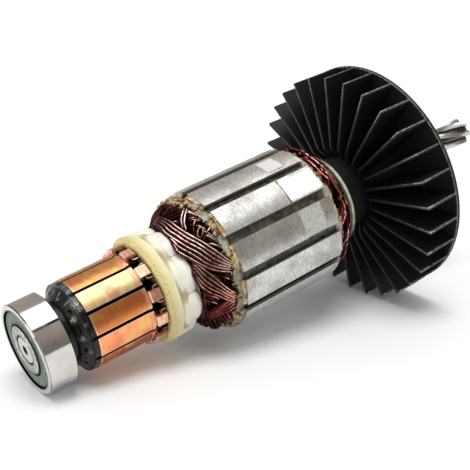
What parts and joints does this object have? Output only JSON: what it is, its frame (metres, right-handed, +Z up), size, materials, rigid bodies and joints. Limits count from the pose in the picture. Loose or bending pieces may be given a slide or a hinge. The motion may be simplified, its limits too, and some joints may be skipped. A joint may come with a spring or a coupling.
{
  "type": "motor armature",
  "caption": "Wound armature of a universal motor with front ball bearing, hooked copper commutator, slotted lamination stack, radial fan and helical pinion shaft, lying at rest.",
  "frame": {"origin": "centre of the armature's bounding box, on the ground plane it rests on", "axes": "+Z up, +X along the level direction of the shaft from the bearing towards the pinion, the shaft rises towards +X because the armature lies on its bearing and its fan"},
  "size_m": [0.1432, 0.0626, 0.0631],
  "materials": {
    "shaft_steel": "ground",
    "bearing_steel": "polished",
    "ball_steel": "polished",
    "cage_steel": "machined",
    "seal": "satin",
    "black_moulding": "satin",
    "commutator_copper": "turned copper with heat tints",
    "enamelled_wire": "enamelled copper wire",
    "resin": "cast",
    "binding": "impregnated",
    "sleeve": "moulded",
    "laminations": "turned",
    "insulator": "varnished",
    "slot_paper": "varnished",
    "slot_wedge": "varnished",
    "fibre_washer": "plain",
    "fan_plastic": "moulded"
  },
  "bodies": {
    "armature": {"shaft_with_pinion": "shaft_steel", "bearing_inner_ring": "bearing_steel", "commutator_hub": "black_moulding", "lead_wires": "enamelled_wire", "lead_resin": "resin", "lead_binding": "binding", "shaft_sleeve": "sleeve", "lamination_core": "laminations", "end_insulator_front": "insulator", "end_insulator_rear": "insulator", "slot_liners": "slot_paper", "slot_wedges": "slot_wedge", "rear_washer": "fibre_washer", "fan": "fan_plastic", "commutator_bar_01": "commutator_copper", "commutator_bar_02": "commutator_copper", "commutator_bar_03": "commutator_copper", "commutator_bar_04": "commutator_copper", "commutator_bar_05": "commutator_copper", "commutator_bar_06": "commutator_copper", "commutator_bar_07": "commutator_copper", "commutator_bar_08": "commutator_copper", "commutator_bar_09": "commutator_copper", "commutator_bar_10": "commutator_copper", "commutator_bar_11": "commutator_copper", "commutator_bar_12": "commutator_copper", "coil_01": "enamelled_wire", "coil_02": "enamelled_wire", "coil_03": "enamelled_wire", "coil_04": "enamelled_wire", "coil_05": "enamelled_wire", "coil_06": "enamelled_wire", "coil_07": "enamelled_wire", "coil_08": "enamelled_wire", "coil_09": "enamelled_wire", "coil_10": "enamelled_wire", "coil_11": "enamelled_wire", "coil_12": "enamelled_wire"},
    "bearing_outer": {"bearing_outer_ring": "bearing_steel", "bearing_seal_front": "seal", "bearing_seal_rear": "seal"},
    "bearing_cage": {"bearing_balls": "ball_steel", "bearing_cage": "cage_steel"}
  },
  "joints": [
    {"name": "bearing_spin", "type": "hinge", "parent": "armature", "child": "bearing_outer", "pos_m": [-0.06597, 0, 0.01142], "axis": [0.9784, 0, 0.2065], "continuous": true},
    {"name": "cage_orbit", "type": "hinge", "parent": "armature", "child": "bearing_cage", "pos_m": [-0.06597, 0, 0.01142], "axis": [0.9784, 0, 0.2065], "continuous": true}
  ],
  "couplings": [
    {"joint": "cage_orbit", "follows": "bearing_spin", "ratio": 0.6369}
  ]
}
